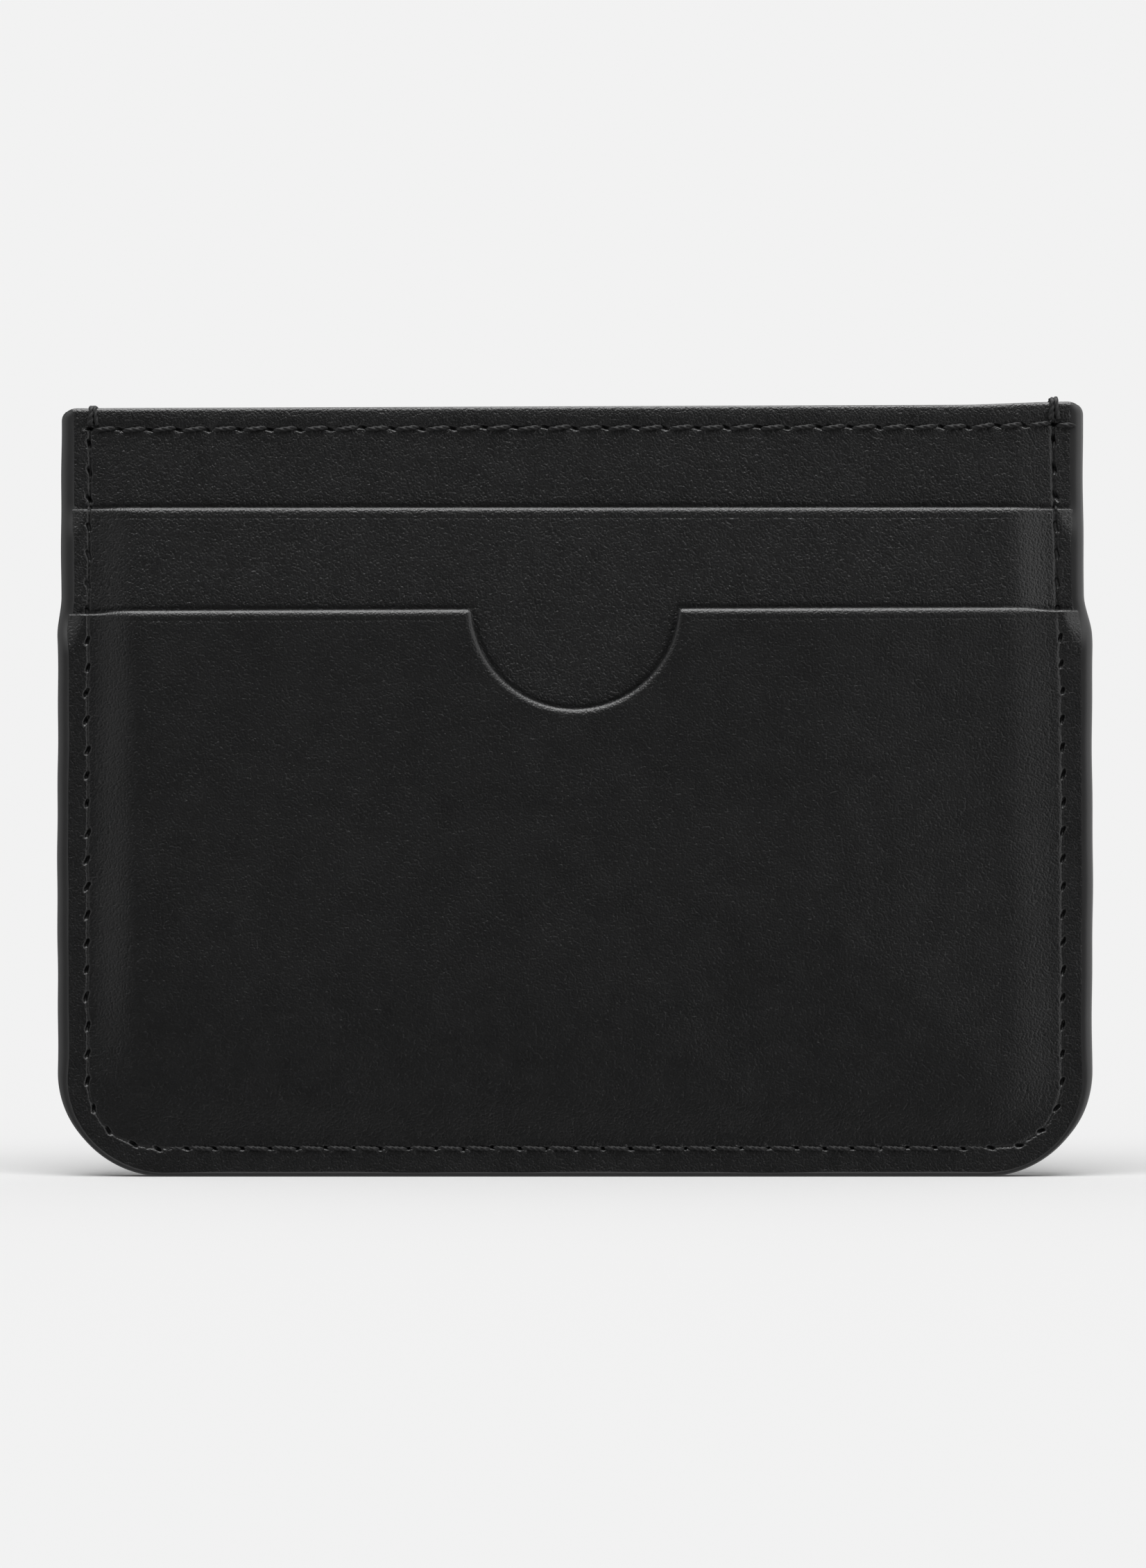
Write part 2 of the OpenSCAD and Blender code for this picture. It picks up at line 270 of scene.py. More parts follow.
def material(name, **fixed):
    """A material with a Principled shader whose fixed values are set on its own sockets; gives
    the material, a Wire with object coordinates in millimetres, and a function to link."""
    made = bpy.data.materials.new(name)
    made.use_nodes = True
    tree = made.node_tree
    shader = tree.nodes["Principled BSDF"]
    for key, value in fixed.items():
        shader.inputs[key.replace("_", " ")].default_value = value
    place = Wire(tree).node("ShaderNodeTexCoord", {}, {}, out=3)
    place = place.stretched((1 / MM,) * 3)

    def link(**wires):
        for key, wire in wires.items():
            tree.links.new(wire.socket, shader.inputs[key.replace("_", " ")])
    return made, place, link


GRAIN_DEEP = 0.038                              # height of the leather's grain
PEBBLES, PORES = 4.6, 7.0                       # to a millimetre
ROUGH = 0.39                                    # before the noise and the grain change it


def leather(name, dark, light, grain, wrinkle):
    """Drum-dyed calf: small pebbles divided by fine creases, slanting wrinkles that rise
    towards the middle from both sides, and duller creases.  The colour follows the grain's height:
    painted shade in the creases and a painted lighter tone on the pebble tops and wrinkle ridges."""
    made, place, link = material(name)
    bent = place.node("ShaderNodeVectorMath", {"operation": "MULTIPLY_ADD"}, {
        0: place.node("ShaderNodeTexNoise", {}, {"Vector": place, "Scale": 1.4}, out=1),
        1: (0.3, 0.3, 0.3), 2: place})
    pebble = 1 - bent.node("ShaderNodeTexVoronoi", {"feature": "F1"},
                           {"Vector": bent, "Scale": PEBBLES, "Randomness": 1.0}) ** 2.0
    fine = place.noise(PORES, 1.0, 0.5)
    across = place.node("ShaderNodeSeparateXYZ", {}, {0: place})
    hand = across.node("ShaderNodeMapRange", {"interpolation_type": "SMOOTHSTEP"},
                       {"Value": across, "From Min": -18.0, "From Max": 26.0})
    rising = place.stretched((0.9, 1, 3.2), 0.75).noise(1.6, 2.0, 0.5)
    falling = place.stretched((0.9, 1, 3.2), -0.85).noise(1.6, 2.0, 0.5)
    streaks = rising * (1 - hand) + falling * hand
    patches = place.noise(0.08, 2.0).ramp((0.36, 0.25), (0.62, 1.0))
    height = pebble * 1.1 + fine * 0.45 + streaks * patches * (0.8 * wrinkle)
    bump = place.node("ShaderNodeBump", {}, {
        "Strength": grain, "Distance": GRAIN_DEEP * MM, "Height": height})
    # painted shade: the colour is darker in the grain's creases and lighter on its raised pebbles and
    # ridges
    tone = (pebble * 0.5 + fine * 0.6 + streaks * (0.4 * wrinkle)).ramp(
        (0.58 + 0.2 * wrinkle, 0.0), (0.84 + 0.2 * wrinkle, 1.0))
    rough = place.noise(0.4, 3.0) * 0.1 + ROUGH - pebble * 0.06
    link(Base_Color=tone.between(dark, light), Roughness=rough, Normal=bump)
    return made


LEATHER = leather("black_calf", (0.001, 0.001, 0.0011), (0.0075, 0.0075, 0.0078), 1.0, 1.0)


def dress(piece, surface, slot, *nodes):
    """Gives a piece its material, ties it to the body, and lets it stand for its CAD nodes.  The
    slot is not used."""
    piece.data.materials.append(surface)
    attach(piece, "root")
    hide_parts(*nodes)
    return piece


STRIP_MARGIN_D, POCKET_MARGIN_D = 1.35, 2.2     # glued and sewn margins lie tight together


def edge_level(z):
    """Half the thickness of the painted edge at height z: it swells from layer to layer, a
    little below each mouth."""
    step = smooth(UPPER_MOUTH + 0.6, UPPER_MOUTH - 3.2, z)
    second = smooth(LOWER_MOUTH + 0.6, LOWER_MOUTH - 4.2, z)
    return PANEL_MARGIN_D + step * (STRIP_MARGIN_D - PANEL_MARGIN_D) + second * (
        POCKET_MARGIN_D - STRIP_MARGIN_D)


def paint_width(z):
    """Width of paint on each face: broad up the sides, narrow along the base."""
    return 0.22 + 0.63 * smooth(1.5, 13, z)


def meet_paint(depth, z, inward):
    """Brings a face level with the painted edge, the more gently the prouder it stands, and
    tucks its last part under the paint."""
    level, width = edge_level(z), paint_width(z)
    reach = 0.8 + 1.3 * np.clip(depth - level, 0, 1)
    shown = level + (depth - level) * smooth(-0.1, 1, (inward - width) / reach)
    tuck = np.minimum(0.9, 0.5 * level) * smooth(0.1, 0.85, width)
    return shown - tuck * smooth(width + 0.15, width - 0.45, inward)


def undulation(x, z, phase):
    """Slow waves of a few hundredths of a millimetre, as soft leather has over a lining."""
    return 0.02 * np.sin(x * 0.21 + phase) * np.sin(z * 0.27 + 2 * phase) + 0.012 * np.sin(
        x * 0.52 - z * 0.4 + phase)


def lines(*stretches):
    """Grid lines from stretches of (start, end, spacing); each stretch starts where the last
    one ends."""
    cut = [np.linspace(a, b, max(2, int(round(abs(b - a) / d)) + 1))[1:] for a, b, d in stretches]
    return np.concatenate([[stretches[0][0]], *cut])


def pressed(gap):
    """Depth by which a mouth presses a line into the layer behind it, at a gap above it."""
    return 0.07 * np.exp(-((gap - 0.08) / 0.2) ** 2)


def panel_face(x, z):
    """Depth of a panel's outer face: level field, margins drawn in, a soft bulge over the
    folded-in hem, a line pressed in by the pocket's mouth, and both seams."""
    sunk = smooth(DRAWN_FROM, DRAWN_TO, np.abs(x))
    depth = PANEL_D - (PANEL_D - PANEL_MARGIN_D) * sunk + undulation(x, z, 0.7)
    depth += 0.07 * np.exp(-((z - TOP_SEAM_Z - 1.15) / 0.75) ** 2) - pressed(z - UPPER_MOUTH)
    inside_row = np.abs(x) < SEAM_HW + 0.6
    top = row_relief(x + SEAM_HW, z - TOP_SEAM_Z, TOP_STITCH, -0.35, 5, 0.12, 0.42)
    sides = side_relief(x, z) * smooth(TOP_SEAM_Z + 0.7, TOP_SEAM_Z + 0.2, z)
    depth = depth - np.where(inside_row, top, 0) - sides
    return meet_paint(depth, z, UPPER_HALF_W - np.abs(x))


ROLL_TALL = 1.5                                 # a turned edge is this much taller outside
FLATTENED = (44, 47.5)                          # between these it flattens towards the seam


def roll_height(turn, top, r, x=0):
    """Heights round a turned edge: half an ellipse whose outer side is taller than its inner,
    until the seam flattens it."""
    tall = ROLL_TALL - (ROLL_TALL - 0.6) * smooth(*FLATTENED, np.abs(x))
    return top - r * np.where(turn < np.pi / 2, tall, 1) * (1 - np.sin(turn))


ROW_OUT, ROW_IN = 49.3, 47.2                    # the grids are fine between these, for the holes
BESIDE_PAINT = 0.25                             # a face's grid ends this far inside the outline


def panel_piece(name, side, *nodes):
    """A panel as one grid: up the outer face, over a half-round fold and down the hem inside
    the centre pocket.  The top corners drop by an arc."""
    half = UPPER_HALF_W - BESIDE_PAINT
    x = lines((-half, -ROW_OUT, 0.2), (-ROW_OUT, -ROW_IN, 0.09), (-ROW_IN, ROW_IN, 0.17),
              (ROW_IN, ROW_OUT, 0.09), (ROW_OUT, half, 0.2))
    fold_r = (PANEL_D - HEM_D) / 2
    row_low, row_high = 73.0, 74.7                  # round the top seam
    face_z = lines((UPPER_MOUTH - 8, UPPER_MOUTH - 1, 1.0), (UPPER_MOUTH - 1, row_low, 0.17),
                   (row_low, row_high, 0.08), (row_high, BODY_H - fold_r * ROLL_TALL, 0.15))
    turn = np.linspace(0, np.pi, 15)[1:]
    hem_z = np.array([BODY_H - 1, BODY_H - 3, BODY_H - 6, BODY_H - 9.5])
    z = np.concatenate([face_z, roll_height(turn, BODY_H, fold_r), hem_z])
    swing = np.concatenate([0 * face_z, turn, 0 * hem_z + np.pi])
    xx, zz = np.meshgrid(x, z)
    thick = fold_r * (1 - np.cos(swing))[:, None]
    face = panel_face(xx, np.minimum(zz, BODY_H - fold_r * ROLL_TALL))
    drawn = smooth(DRAWN_FROM, SEAM_HW, np.abs(xx)) * smooth(0, 2 * fold_r, thick)
    depth = face - thick - drawn * (HEM_D - (PANEL_D - PANEL_MARGIN_D) - 0.03)
    over = np.clip(np.abs(xx) - UPPER_HALF_W + TOP_CORNER_R, 0, TOP_CORNER_R)
    drop = TOP_CORNER_R - np.sqrt(TOP_CORNER_R ** 2 - over ** 2)
    zz = zz - drop * smooth(BODY_H - 5, BODY_H - 0.5, zz)
    piece = make_piece(name, [np.stack([xx, zz, depth], -1)], [grid_faces(*xx.shape)], side)
    return dress(piece, LEATHER, "leather", *nodes)


for half_name, side in (("front", 1), ("rear", -1)):
    panel_piece(f"{half_name}_panel_leather", side, f"{half_name}_panel",
                f"{half_name}_panel_seam_allowance", f"{half_name}_panel_top_fold")

# ---------------------------------------------------------------------------
# Upper pockets.  A strip of the same calf on each face; its mouth is turned in
# and creased with a hot iron, and its lower part hangs behind the lower pocket.
# ---------------------------------------------------------------------------
strip_low = corners("front_upper_pocket")[0]
STRIP_D = -strip_low[1] - 0.1                   # the strip lies a little flatter than its CAD
STRIP_ROLL = 0.4                                # radius of the turned mouth
CREASE_DROP, CREASE_W = 1.05, 0.09              # the ironed line below a mouth
CREASE_ENDS = (51, 45)                          # it fades out towards the sides
NOTCH_R, NOTCH_RISE, NOTCH_FILLET = 10.2, 0.35, 0.5


def strip_face(x, z, notched):
    """Depth of a strip's outer face: field, margins drawn in, side seam, the crease, and the
    line pressed in along the lower mouth and round its notch."""
    sunk = smooth(SEAM_HW - 5, SEAM_HW + 0.2, np.abs(x))
    depth = STRIP_D - (STRIP_D - STRIP_MARGIN_D) * sunk + undulation(x, z, 2.2)
    crease = 0.02 * np.exp(-((z - UPPER_MOUTH + CREASE_DROP) / CREASE_W) ** 2)
    crease = crease * smooth(*CREASE_ENDS, np.abs(x))
    gap = z - LOWER_MOUTH
    if notched:
        gap = np.maximum(gap, NOTCH_R - np.hypot(x, gap - NOTCH_RISE))
    depth = depth - crease - side_relief(x, z) - pressed(gap)
    return meet_paint(depth, z, UPPER_HALF_W - np.abs(x))


def strip_piece(name, side, *nodes):
    """A strip as one grid: up its face, over the turned mouth and a little way down inside."""
    half = UPPER_HALF_W - BESIDE_PAINT
    x = lines((-half, -ROW_OUT, 0.25), (-ROW_OUT, -ROW_IN, 0.09), (-ROW_IN, -44, 0.3),
              (-44, -11.5, 0.8), (-11.5, 11.5, 0.17), (11.5, 44, 0.8), (44, ROW_IN, 0.3),
              (ROW_IN, ROW_OUT, 0.09), (ROW_OUT, half, 0.25))
    shoulder = UPPER_MOUTH - STRIP_ROLL * ROLL_TALL
    face_z = lines((strip_low[2], LOWER_MOUTH - 11, 0.5), (LOWER_MOUTH - 11, UPPER_MOUTH - 1.4, 0.15),
                   (UPPER_MOUTH - 1.4, UPPER_MOUTH - 0.85, 0.05), (UPPER_MOUTH - 0.85, shoulder, 0.1))
    turn = np.linspace(0, np.pi, 15)[1:]
    inner_z = UPPER_MOUTH - np.array([1, 2, 4, 8.0])
    z = np.concatenate([face_z, roll_height(turn, UPPER_MOUTH, STRIP_ROLL), inner_z])
    swing = np.concatenate([0 * face_z, turn, 0 * inner_z + np.pi])
    xx, zz = np.meshgrid(x, z)
    rolled = slice(len(face_z), len(face_z) + len(turn))
    zz[rolled] = roll_height(turn[:, None], UPPER_MOUTH, STRIP_ROLL, x)
    face = strip_face(xx, np.minimum(zz, shoulder), side == 1)
    depth = face - STRIP_ROLL * (1 - np.cos(swing))[:, None]
    piece = make_piece(name, [np.stack([xx, zz, depth], -1)], [grid_faces(*xx.shape)], side)
    return dress(piece, LEATHER, "leather", *nodes)


for half_name, side in (("front", 1), ("rear", -1)):
    strip_piece(f"{half_name}_upper_pocket_leather", side, f"{half_name}_upper_pocket",
                f"{half_name}_upper_pocket_seam_allowance")

# ---------------------------------------------------------------------------
# Lower pockets.  The outermost cut of calf on each face, with its mouth turned
# in; the front one has a half-round thumb notch.  The field stands a little
# proud of the sewn margin.
# ---------------------------------------------------------------------------
SMOOTH_LEATHER = leather("black_calf_smooth", (0.001, 0.001, 0.0011), (0.0055, 0.0055, 0.0057),
                         0.8, 0.35)
POCKET_D = -corners("front_lower_pocket")[0][1]
POCKET_ROLL = 0.45
SLACK = 0.35                                    # the empty pocket lies this much flatter
RIM = 1.6                                       # depth of the finely divided rim strip
BLOCK_Z = 42.0                                  # the notch's block starts here
FIELD_X = HALF_W - CORNER_R
ARC_STEPS, STEPS = 20, 4                        # a corner's coarse steps, and fine ones in each


def swell(x, z):
    """How far a lower pocket's field stands out, from 0 at the seam to 1: within a few
    millimetres on the left, more gently on the right and along the base."""
    distance = edge_distance(x, z)
    gentle = np.maximum(0.65 * smooth(0, 20, x), 0.6 * smooth(22, 6, z))
    return (1 - gentle) * smooth(2.6, 8.2, distance) + gentle * smooth(1.0, 28, distance)


def taper(z):
    """How far the outline stands in above the lower mouth."""
    return SET_IN * smooth(LOWER_MOUTH - 2.4, LOWER_MOUTH + 1.6, z)


def pocket_face(x, z):
    """Depth of a lower pocket's outer face: a field that stands proud of the margin, the seam,
    and a faint crease along the straight mouth."""
    proud = (POCKET_D - SLACK - POCKET_MARGIN_D) * swell(x, z)
    depth = POCKET_MARGIN_D + proud + undulation(x, z, 4.1)
    crease = 0.018 * np.exp(-((z - LOWER_MOUTH + CREASE_DROP) / CREASE_W) ** 2)
    crease = crease * smooth(11.5, 14, np.abs(x)) * smooth(*CREASE_ENDS, np.abs(x))
    along, _ = seam_place(x, z)
    relief = side_relief(x, z, 0.1 + 0.1 * smooth(58, 62, along))
    return meet_paint(depth - relief - crease, z, edge_distance(x, z))


def ring(t, columns):
    """The mouth's outline, t inside the rim: straight, a fillet, the notch's arc, and the same
    again mirrored.  Without a notch the same columns lie on one straight line."""
    straight, bend, arc = columns
    round_r = np.maximum(NOTCH_FILLET - t, 0.03)
    sweep_r = NOTCH_R + t
    corner_z = LOWER_MOUTH - t - round_r
    rise = LOWER_MOUTH + NOTCH_RISE - corner_z
    corner_x = np.sqrt((sweep_r + round_r) ** 2 - rise ** 2)
    lean = np.arcsin(rise / (sweep_r + round_r))
    left_x = -FIELD_X + (FIELD_X - corner_x) * np.linspace(0, 1, straight)
    angle = np.pi / 2 - (np.pi / 2 - lean) * np.linspace(0, 1, bend)
    bend_x, bend_z = -corner_x + round_r * np.cos(angle), corner_z + round_r * np.sin(angle)
    swing = -(np.pi - lean) + (np.pi - 2 * lean) * np.linspace(0, 1, arc)
    arc_x, arc_z = sweep_r * np.cos(swing), LOWER_MOUTH + NOTCH_RISE + sweep_r * np.sin(swing)
    x = np.concatenate([left_x, bend_x[1:], arc_x[1:-1], -bend_x[1:][::-1], -left_x[::-1]])
    z = np.concatenate([0 * left_x + LOWER_MOUTH - t, bend_z[1:], arc_z[1:-1], bend_z[1:][::-1],
                        0 * left_x + LOWER_MOUTH - t])
    return np.stack([x, z], -1)


def edge_path(down, bottom, arc_steps, steps):
    """Points on the outline with their inward directions: down the left side, round the corner,
    along the bottom, and up the right.  Every coarse stretch is cut into the given steps."""
    def divide(values):
        """The values with each gap between neighbours cut into equal steps."""
        wanted = np.arange((len(values) - 1) * steps + 1) / steps
        return np.interp(wanted, np.arange(len(values)), values)
    z, x, angle = divide(down), divide(bottom), divide(np.linspace(np.pi, 1.5 * np.pi, arc_steps + 1))
    ray = np.stack([np.cos(angle), np.sin(angle)], -1)[1:-1]
    left = np.stack([0 * z - HALF_W, z], -1)
    arc = np.array([-FIELD_X, CORNER_R]) + CORNER_R * ray
    base = np.stack([x, 0 * x], -1)
    flip = np.array([-1, 1])
    points = np.concatenate([left, arc, base, (arc * flip)[::-1], (left * flip)[::-1]])
    inward = np.concatenate([0 * left + [1, 0], -ray, 0 * base + [0, 1], (-ray * flip)[::-1],
                             0 * left + [-1, 0]])
    return points, inward


def pocket_piece(name, side, notched, *nodes):
    """A lower pocket from four matched blocks, welded where they meet: a fine band along the
    sewn margin, a coarse band inside it that closes on the corners' centres, the field, and the
    rim strip that rolls over the mouth and down the inside."""
    straight, bend, arc = columns = (49, 7, 41)
    inner, outer = 10.6, 11.4                       # the notch's fillets stand between these
    base_x = np.concatenate([
        np.linspace(-FIELD_X, -outer, straight), np.linspace(-outer, -inner, bend)[1:],
        np.linspace(-inner, inner, arc)[1:-1], np.linspace(inner, outer, bend)[:-1],
        np.linspace(outer, FIELD_X, straight)])
    rows_high = np.linspace(LOWER_MOUTH - RIM, BLOCK_Z, 21)
    rows_low = np.linspace(BLOCK_Z, CORNER_R, 52)
    down = np.concatenate([rows_high, rows_low[1:]])
    fine_t = lines((0.15, 1.7, 0.16), (1.7, 3.7, 0.085), (3.7, 5.0, 0.3))
    coarse_t = np.linspace(5.6, CORNER_R, 9)
    fine_p, fine_n = edge_path(down, base_x, ARC_STEPS, STEPS)
    coarse_p, coarse_n = edge_path(down, base_x, ARC_STEPS, 1)
    blocks = [fine_p + fine_t[:, None, None] * fine_n,
              coarse_p + coarse_t[:, None, None] * coarse_n]
    first = (len(fine_t) - 1) * len(fine_p)
    start = len(fine_t) * len(fine_p)
    k = np.arange(len(coarse_p) - 1)[:, None]
    joint = np.concatenate([first + STEPS * k + np.arange(STEPS + 1), start + k + 1, start + k], 1)
    faces = [grid_faces(len(fine_t), len(fine_p)), joint,
             grid_faces(len(coarse_t), len(coarse_p), start)]

    low = np.stack(np.meshgrid(base_x, rows_low[::-1]), -1)
    top = ring(RIM, columns) if notched else np.stack([base_x, 0 * base_x + LOWER_MOUTH - RIM], -1)
    share = np.linspace(0, 1, len(rows_high))[:, None, None]
    high = (1 - share) * low[-1] + share * top
    turn = np.linspace(0, np.pi, 17)[1:]
    shoulder = POCKET_ROLL * ROLL_TALL
    rim_t = np.concatenate([[RIM, 1.4, 1.22, 1.12, 1.05, 0.98, 0.88, 0.76, shoulder],
                            -roll_height(turn, 0, POCKET_ROLL), [0.8, 1.6, 3, 5, 8]])
    swing = np.concatenate([np.zeros(9), turn, np.full(5, np.pi)])
    side_t = np.concatenate([fine_t, coarse_t[:-1]])
    rim = []
    for t in rim_t:
        level = np.stack([base_x, 0 * base_x + LOWER_MOUTH - t], -1)
        middle = ring(t, columns) if notched else level
        flat = 1 - 0.6 * smooth(*(HALF_W - np.array(FLATTENED)), side_t) * (t <= shoulder)
        flank = np.stack([side_t - HALF_W, LOWER_MOUTH - t * flat], -1)
        rim.append(np.concatenate([flank, middle, (flank * [-1, 1])[::-1]]))
    blocks += [low, high, np.array(rim)]
    solid = []
    for block in blocks:
        thick = POCKET_ROLL * (1 - np.cos(swing))[:, None] if block is blocks[-1] else 0
        x, z = block[..., 0], block[..., 1]
        face = pocket_face(x, np.minimum(z, LOWER_MOUTH - shoulder))
        tapered = x - np.sign(x) * taper(z) * smooth(SEAM_HW, HALF_W, np.abs(x))
        solid.append(np.stack([tapered, z, face - thick], -1))
    for block in blocks[2:]:
        start = sum(b.shape[0] * b.shape[1] for b in blocks[:len(faces) - 1])
        faces.append(grid_faces(*block.shape[:2], start))
    piece = make_piece(name, solid, faces, side, weld=True)
    return dress(piece, SMOOTH_LEATHER, "leather", *nodes)


for half_name, side in (("front", 1), ("rear", -1)):
    pocket_piece(f"{half_name}_lower_pocket_leather", side, side == 1, f"{half_name}_lower_pocket",
                 f"{half_name}_lower_pocket_seam_allowance")

# ---------------------------------------------------------------------------
# Painted edge.  The cut edges of the whole stack are sanded round and coated
# with several layers of black edge paint, down one side, round the bottom and
# up the other.
# ---------------------------------------------------------------------------
def painted_edge():
    """A section carried round the outline: a quarter circle onto each face and a nearly flat
    wall between them.  Its half thickness follows the layers, and the corners at the top close
    over with an arc."""
    top = BODY_H - 0.35
    z = lines((top, 40, 0.25), (40, CORNER_R, 0.5))
    points, inward = edge_path(z, np.linspace(-FIELD_X, FIELD_X, 120), 40, 1)
    height = points[:, 1]
    points = points + inward * taper(height)[:, None]
    over = np.clip(height - (BODY_H - TOP_CORNER_R), 0, TOP_CORNER_R * 0.98)
    points = points + inward * (TOP_CORNER_R - np.sqrt(TOP_CORNER_R ** 2 - over ** 2))[:, None]
    turn = np.linspace(0, np.pi / 2, 9)
    wall = np.linspace(0, 1, 8)[1:-1]
    half = edge_level(height)[:, None]
    r = np.minimum(paint_width(height)[:, None], half * 0.95)
    front_t, front_d = r * (1 - np.sin(turn)), half - r * (1 - np.cos(turn)) + 0.02
    middle_d = (half - r) * (1 - 2 * wall)
    middle_t = 0 * middle_d - 0.05 * (1 - (2 * wall - 1) ** 2)
    under_t, under_d = r + [0.9, 0.25], half - [0.4, 0.0]
    t = np.concatenate([under_t, front_t, middle_t, front_t[:, ::-1], under_t[:, ::-1]], 1)
    d = np.concatenate([under_d, front_d, middle_d, -front_d[:, ::-1], -under_d[:, ::-1]], 1)
    place = points[:, None, :] + t[..., None] * inward[:, None, :]
    solid = np.concatenate([place, d[..., None]], -1).transpose(1, 0, 2)
    return make_piece("painted_edge_bead", [solid], [grid_faces(*solid.shape[:2])[:, ::-1]], 1)


def edge_paint():
    """Satin acrylic paint: almost no texture, faint sanding waves along the edge."""
    made, place, link = material("edge_paint", Roughness=0.44)
    waves = place.noise(0.9, 2.0) * 0.7 + place.noise(6.0, 2.0) * 0.3
    bump = place.node("ShaderNodeBump", {}, {"Strength": 0.5, "Distance": 0.03 * MM, "Height": waves})
    link(Base_Color=waves.between((0.012, 0.012, 0.0122), (0.017, 0.017, 0.0173)), Normal=bump)
    return made


dress(painted_edge(), edge_paint(), "edge_paint", "painted_edge")

# ---------------------------------------------------------------------------
# Thread.  Bonded three-ply thread, dyed black.  The top rows show their twist;
# the perimeter seam's bobbin side is pulled deep into the leather and shows
# mostly along the bottom.
# ---------------------------------------------------------------------------
def thread_material():
    """Waxed polyester: a soft sheen, with darker fibres lying at random along the ply."""
    made, place, link = material("black_thread", Roughness=0.6, Specular_IOR_Level=0.3)
    fibre = place.noise(14.0, 2.0)
    bump = place.node("ShaderNodeBump", {}, {"Strength": 0.6, "Distance": 0.02 * MM, "Height": fibre})
    link(Base_Color=fibre.between((0.003, 0.003, 0.0031), (0.01, 0.01, 0.0103)), Normal=bump)
    return made


THREAD = thread_material()
AROUND = 18                                     # faces round a thread
END = 2.2                                       # points over which a stitch's end closes


def strands(name, paths, radius, side, reference, twist=0.5):
    """Twisted thread along each of k paths of n points (k, n, 3).  Round every point lies a ring
    of radius r (0.64 + 0.36 |cos 1.5(a - twist s)|), so three plies wind along it; the ring
    shrinks to a point at both ends."""
    tangent = np.gradient(paths, axis=1)
    tangent /= np.linalg.norm(tangent, axis=-1, keepdims=True)
    normal = np.cross(tangent, reference)
    normal /= np.linalg.norm(normal, axis=-1, keepdims=True)
    binormal = np.cross(tangent, normal)
    step = np.linalg.norm(np.diff(paths, axis=1), axis=-1)
    s = np.concatenate([np.zeros((len(paths), 1)), np.cumsum(step, 1)], 1)[..., None]
    angle = np.linspace(0, 2 * np.pi, AROUND + 1)
    lobes = 0.64 + 0.36 * np.abs(np.cos(1.5 * (angle - 2 * np.pi * twist * s)))
    n = paths.shape[1]
    cap = np.sqrt(1 - np.clip(np.abs(np.linspace(-1, 1, n)) * n - n + END, 0, END) ** 2 / END ** 2)
    r = radius * lobes * cap[:, None]
    rings = paths[:, :, None, :] + r[..., None] * (
        np.cos(angle)[:, None] * normal[:, :, None, :]
        + np.sin(angle)[:, None] * binormal[:, :, None, :])
    faces = [grid_faces(n, AROUND + 1, k * n * (AROUND + 1)) for k in range(len(paths))]
    return make_piece(name, [rings], faces, side, weld=True)


TOP_THREAD, BASE_THREAD, TACK_THREAD = 0.25, 0.24, 0.26     # radii of the thread, as sewn
STITCH_POINTS = 28


def top_row(name, side, node):
    """The top seam: each stitch rises a little to the right, arches over the leather and dives
    into the next needle hole."""
    count = TOP_STITCHES + 1
    hole = -SEAM_HW + TOP_STITCH * np.arange(count)
    u = np.linspace(0, 1, STITCH_POINTS)
    x = hole[:, None] + TOP_STITCH * (0.13 + 0.72 * u)
    loose = np.random.default_rng(3).uniform(-1, 1, (3, count, 1))
    z = TOP_SEAM_Z + (0.26 + 0.08 * loose[0]) * (u - 0.5) + 0.04 * loose[1] + 0 * x
    ends = np.abs(2 * u - 1)
    depth = PANEL_D - 0.02 + (0.12 + 0.03 * loose[2]) * (1 - ends ** 4) - 0.3 * ends ** 6
    depth -= (PANEL_D - PANEL_MARGIN_D) * smooth(DRAWN_FROM, DRAWN_TO, np.abs(x))
    x[-1] = SEAM_HW + 0.25 + 1.35 * u               # the last one is short and runs downhill
    z[-1] -= 0.28 * u ** 2
    piece = strands(name, np.stack([x, z, depth], -1), TOP_THREAD, side, [0, 0, 1])
    return dress(piece, THREAD, "thread", node)


def perimeter_row(name, side, node):
    """The perimeter seam on one face, hole to hole down both steps and round the pocket.  On
    the sides the thread lies deep in its slit; along the bottom it comes nearly level."""
    count = int(round(seam_place(np.array(0.0), np.array(SEAM_LOW))[0] / STITCH))
    above, gap = 6, 0.08                            # stitches above the mouth; share left bare
    along = STITCH * np.arange(-above, count)
    u = np.linspace(gap, 1 - gap, STITCH_POINTS)
    s = along[:, None] + STITCH * u
    side_run = LOWER_MOUTH - SEAM_LOW - SEAM_R
    bend = np.clip(s - side_run, 0, SEAM_R * np.pi / 2) / SEAM_R
    flat = np.clip(s - side_run - SEAM_R * np.pi / 2, 0, None)
    x = SEAM_HW - SEAM_R + SEAM_R * np.cos(bend) - flat
    z = np.where(s < side_run, LOWER_MOUTH - s, SEAM_LOW + SEAM_R - SEAM_R * np.sin(bend))
    paths = []
    for hand in (-1, 1):
        face = np.where(z > UPPER_MOUTH, PANEL_MARGIN_D, np.where(
            z > LOWER_MOUTH, STRIP_MARGIN_D, POCKET_MARGIN_D + 0.04))
        sink = 0.42 - 0.39 * smooth(*ROUND_CORNER, s)
        wave = 1 - np.abs((2 * u - 1) / (1 - 2 * gap)) ** 4
        depth = face - sink - 0.28 + 0.33 * wave
        tilt = 0.2 * smooth(*ROUND_CORNER, s) * (u - 0.5)
        paths.append(np.stack([hand * x, z + tilt * hand, depth], -1))
    piece = strands(name, np.concatenate(paths), BASE_THREAD, side, [0, 0, 1], 0.6)
    return dress(piece, THREAD, "thread", node)


